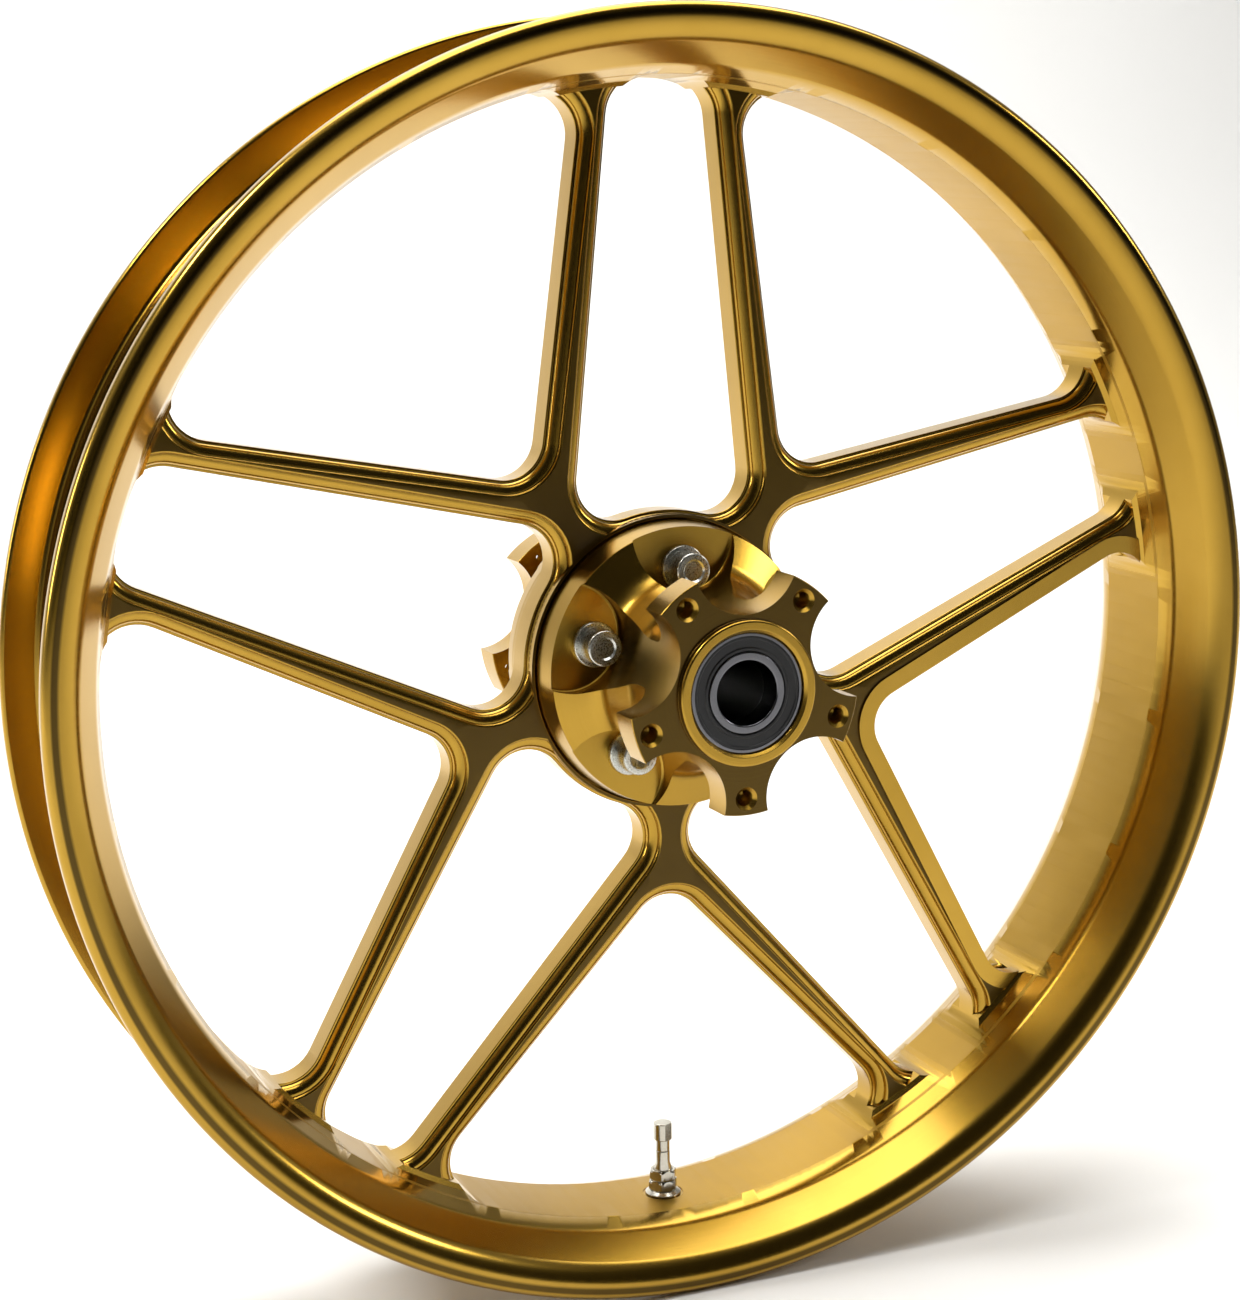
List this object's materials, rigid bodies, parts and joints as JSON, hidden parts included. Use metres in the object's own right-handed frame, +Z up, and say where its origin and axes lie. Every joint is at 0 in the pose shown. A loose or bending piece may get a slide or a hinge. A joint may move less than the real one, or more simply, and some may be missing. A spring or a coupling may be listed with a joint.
{
  "type": "forged motorcycle racing wheel",
  "caption": "Forged racing wheel rim with spokes in pairs, bolted two-piece hub with brake-rotor lugs, sealed bearings and tyre valve.",
  "frame": {"origin": "centre of the wheel, on the axle line midway between the two hub ends", "axes": "the axle lies along Y with the near side at -Y, Z is up and the tyre valve points down from the axle at -Z"},
  "size_m": [0.512, 0.167, 0.512],
  "materials": {
    "gold_anodised_forging": "gold anodised, satin web with polished window edges",
    "gold_anodised_hub": "gold anodised over turned and milled faces",
    "zinc_steel": "bright zinc plate",
    "ground_steel": "ground",
    "polished_steel": "polished",
    "cage_nylon": "moulded nylon",
    "seal_rubber": "moulded rubber",
    "turned_aluminium": "black anodised, turned",
    "valve_nickel": "satin nickel plate",
    "core_brass": "turned brass"
  },
  "bodies": {
    "axle_sleeve": {"near_bearing_inner_race": "ground_steel", "far_bearing_inner_race": "ground_steel", "bearing_spacer": "turned_aluminium"},
    "wheel": {"forged_wheel": "gold_anodised_forging", "near_hub": "gold_anodised_hub", "far_hub": "gold_anodised_hub", "hub_bolts": "zinc_steel", "hub_bolt_washers": "zinc_steel", "near_bearing_outer_race": "ground_steel", "near_bearing_outer_seal": "seal_rubber", "near_bearing_inner_seal": "seal_rubber", "far_bearing_outer_race": "ground_steel", "far_bearing_outer_seal": "seal_rubber", "far_bearing_inner_seal": "seal_rubber", "valve_stem": "valve_nickel", "valve_nut": "valve_nickel", "valve_locknut": "valve_nickel", "valve_washer": "valve_nickel", "valve_grommet": "seal_rubber", "valve_core_body": "core_brass", "valve_core_spring": "polished_steel"},
    "near_ball_set": {"near_bearing_balls": "polished_steel", "near_bearing_cage": "cage_nylon"},
    "far_ball_set": {"far_bearing_balls": "polished_steel", "far_bearing_cage": "cage_nylon"},
    "core_pin": {"valve_core_pin": "core_brass", "valve_core_seal": "seal_rubber"},
    "cap": {"valve_cap": "valve_nickel", "valve_cap_seal": "seal_rubber"}
  },
  "joints": [
    {"name": "wheel_spin", "type": "hinge", "parent": "axle_sleeve", "child": "wheel", "pos_m": [0, 0, 0], "axis": [0, 1, 0], "continuous": true},
    {"name": "near_ball_spin", "type": "hinge", "parent": "axle_sleeve", "child": "near_ball_set", "pos_m": [0, -0.0755, 0], "axis": [0, 1, 0], "continuous": true},
    {"name": "far_ball_spin", "type": "hinge", "parent": "axle_sleeve", "child": "far_ball_set", "pos_m": [0, 0.0755, 0], "axis": [0, 1, 0], "continuous": true},
    {"name": "core_pin_press", "type": "slide", "parent": "wheel", "child": "core_pin", "axis": [0, 0, -1], "range_m": [0, 0.001], "stiffness_N_per_m": 1500, "springref_m": -0.001, "deforming": ["valve_core_spring"]},
    {"name": "cap_lift", "type": "slide", "parent": "wheel", "child": "cap", "axis": [0, 0, 1], "range_m": [0, 0.02]}
  ],
  "couplings": [
    {"joint": "near_ball_spin", "follows": "wheel_spin", "ratio": 0.588},
    {"joint": "far_ball_spin", "follows": "wheel_spin", "ratio": 0.588}
  ]
}
